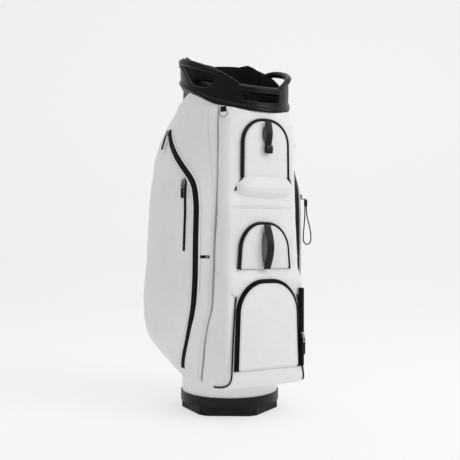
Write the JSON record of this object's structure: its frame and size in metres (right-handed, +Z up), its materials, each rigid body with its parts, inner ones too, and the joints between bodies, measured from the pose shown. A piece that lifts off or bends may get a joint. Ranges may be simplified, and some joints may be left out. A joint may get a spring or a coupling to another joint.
{
  "type": "golf bag",
  "caption": "Standing golf bag with a divided top, a moulded collar with lift handles, drop-door front pockets, zipped side pockets and a shoulder strap.",
  "frame": {"origin": "middle of the foot's underside, on the floor", "axes": "+Z up along the bag, -Y towards the front pockets, +X to the right as seen from the front"},
  "size_m": [0.3798, 0.359, 0.885],
  "materials": {
    "base_plastic": "smooth satin moulded plastic",
    "black_binding": "black smooth binding",
    "black_webbing": "black woven webbing",
    "bright_metal": "polished plated metal",
    "buckle_plastic": "moulded buckle",
    "catch_plastic": "moulded bar",
    "collar_plastic": "fine-grained moulded plastic, satin",
    "cord_black": "black braided cord",
    "divider_cloth": "black woven lining",
    "foot_rubber": "ribbed moulded rubber",
    "knot_rubber": "black moulded grip",
    "magnet_steel": "plated magnet",
    "padded_fabric": "black padded mesh fabric",
    "pull_leather": "black grained synthetic leather",
    "rail_fleece": "black brushed fleece over a rail",
    "spine_fabric": "black padded woven fabric",
    "stay_rod": "grey coated rod",
    "white_leather": "white fine-grained synthetic leather",
    "zip_metal": "satin nickel plated metal",
    "zip_tape": "black woven zip tape with moulded teeth"
  },
  "bodies": {
    "bag": {"ball_piping": "black_binding", "ball_pocket_housing": "white_leather", "ball_zip_tape": "zip_tape", "base_cup": "base_plastic", "base_foot": "foot_rubber", "base_screws": "bright_metal", "body_tube": "white_leather", "cart_strap_rivets": "bright_metal", "cart_strap_tabs": "black_webbing", "catch_bars": "catch_plastic", "catch_magnets": "magnet_steel", "collar": "collar_plastic", "divider_cross_cloths": "divider_cloth", "divider_cross_rails": "rail_fleece", "divider_lengthwise_cloths": "divider_cloth", "divider_short_rails": "rail_fleece", "frame_stays": "stay_rod", "front_handle": "collar_plastic", "middle_pocket_binding": "black_binding", "middle_pocket_housing": "white_leather", "rim_pad": "padded_fabric", "side_handle_left": "padded_fabric", "side_handle_right": "padded_fabric", "side_pocket_left": "white_leather", "side_pocket_right": "white_leather", "side_zip_tape_left": "zip_tape", "side_zip_tape_right": "zip_tape", "spine_panel": "spine_fabric", "strap_anchors": "black_webbing", "strap_pad": "padded_fabric", "strap_rings": "bright_metal", "strap_webs": "black_webbing", "towel_loop": "black_webbing", "upper_pocket_binding": "black_binding", "upper_pocket_housing": "white_leather", "upper_pouch": "white_leather", "welt_zip_tape": "zip_tape"},
    "upper_door": {"upper_door": "white_leather", "upper_door_magnet": "magnet_steel", "upper_door_pull": "pull_leather"},
    "middle_door": {"middle_door": "white_leather", "middle_door_magnet": "magnet_steel", "middle_door_pull": "pull_leather"},
    "ball_door": {"ball_door": "white_leather"},
    "towel_ring": {"towel_ring": "bright_metal"},
    "strap_adjuster": {"strap_adjuster": "buckle_plastic"},
    "ball_zip_slider": {"ball_zip_slider": "zip_metal"},
    "ball_zip_pull": {"ball_zip_pull_clip": "zip_metal", "ball_zip_pull_tab": "pull_leather"},
    "welt_zip_slider": {"welt_zip_slider": "zip_metal"},
    "welt_zip_pull": {"welt_zip_pull_clip": "zip_metal", "welt_zip_pull_tab": "pull_leather"},
    "left_zip_slider": {"left_zip_slider": "zip_metal"},
    "left_zip_pull": {"left_zip_pull_clip": "zip_metal", "left_zip_pull_tab": "pull_leather"},
    "right_zip_slider": {"right_zip_slider": "zip_metal"},
    "right_zip_pull": {"right_zip_pull_clip": "zip_metal", "loop_pull_knot": "knot_rubber", "loop_pull_cord": "cord_black"}
  },
  "joints": [
    {"name": "upper_door_hinge", "type": "hinge", "parent": "bag", "child": "upper_door", "pos_m": [0, -0.172, 0.562], "axis": [1, 0, 0], "range_deg": [0, 40]},
    {"name": "middle_door_hinge", "type": "hinge", "parent": "bag", "child": "middle_door", "pos_m": [0, -0.18, 0.352], "axis": [1, 0, 0], "range_deg": [0, 40]},
    {"name": "ball_door_hinge", "type": "hinge", "parent": "bag", "child": "ball_door", "pos_m": [0, -0.197, 0.124], "axis": [1, 0, 0], "range_deg": [0, 45]},
    {"name": "ball_zip_slide", "type": "slide", "parent": "bag", "child": "ball_zip_slider", "axis": [0, 0, 1], "range_m": [-0.05, 0.045]},
    {"name": "welt_zip_slide", "type": "slide", "parent": "bag", "child": "welt_zip_slider", "axis": [0, 0, -1], "range_m": [0, 0.145]},
    {"name": "left_zip_slide", "type": "slide", "parent": "bag", "child": "left_zip_slider", "axis": [-0.2053, -0.6998, -0.6842], "range_m": [0, 0.045]},
    {"name": "right_zip_slide", "type": "slide", "parent": "bag", "child": "right_zip_slider", "axis": [0, 0, -1], "range_m": [0, 0.18]},
    {"name": "ball_zip_pull_hinge", "type": "hinge", "parent": "ball_zip_slider", "child": "ball_zip_pull", "pos_m": [0.0915, -0.198, 0.196], "axis": [-1, 0, 0], "range_deg": [0, 150]},
    {"name": "welt_zip_pull_hinge", "type": "hinge", "parent": "welt_zip_slider", "child": "welt_zip_pull", "pos_m": [-0.16272, -0.06995, 0.556], "axis": [-0.3905, 0.9206, 0], "range_deg": [0, 150]},
    {"name": "left_zip_pull_hinge", "type": "hinge", "parent": "left_zip_slider", "child": "left_zip_pull", "pos_m": [-0.15599, 0.038, 0.68744], "axis": [0, 1, 0], "range_deg": [0, 150]},
    {"name": "right_zip_pull_hinge", "type": "hinge", "parent": "right_zip_slider", "child": "right_zip_pull", "pos_m": [0.14572, -0.10901, 0.528], "axis": [-0.622, -0.783, 0], "range_deg": [0, 90]},
    {"name": "towel_ring_hinge", "type": "hinge", "parent": "bag", "child": "towel_ring", "pos_m": [-0.09889, -0.15627, 0.712], "axis": [-0.6919, 0.722, 0], "range_deg": [0, 100]},
    {"name": "strap_adjuster_slide", "type": "slide", "parent": "bag", "child": "strap_adjuster", "axis": [0, 0.1322, 0.9912], "range_m": [-0.006, 0.006]}
  ]
}
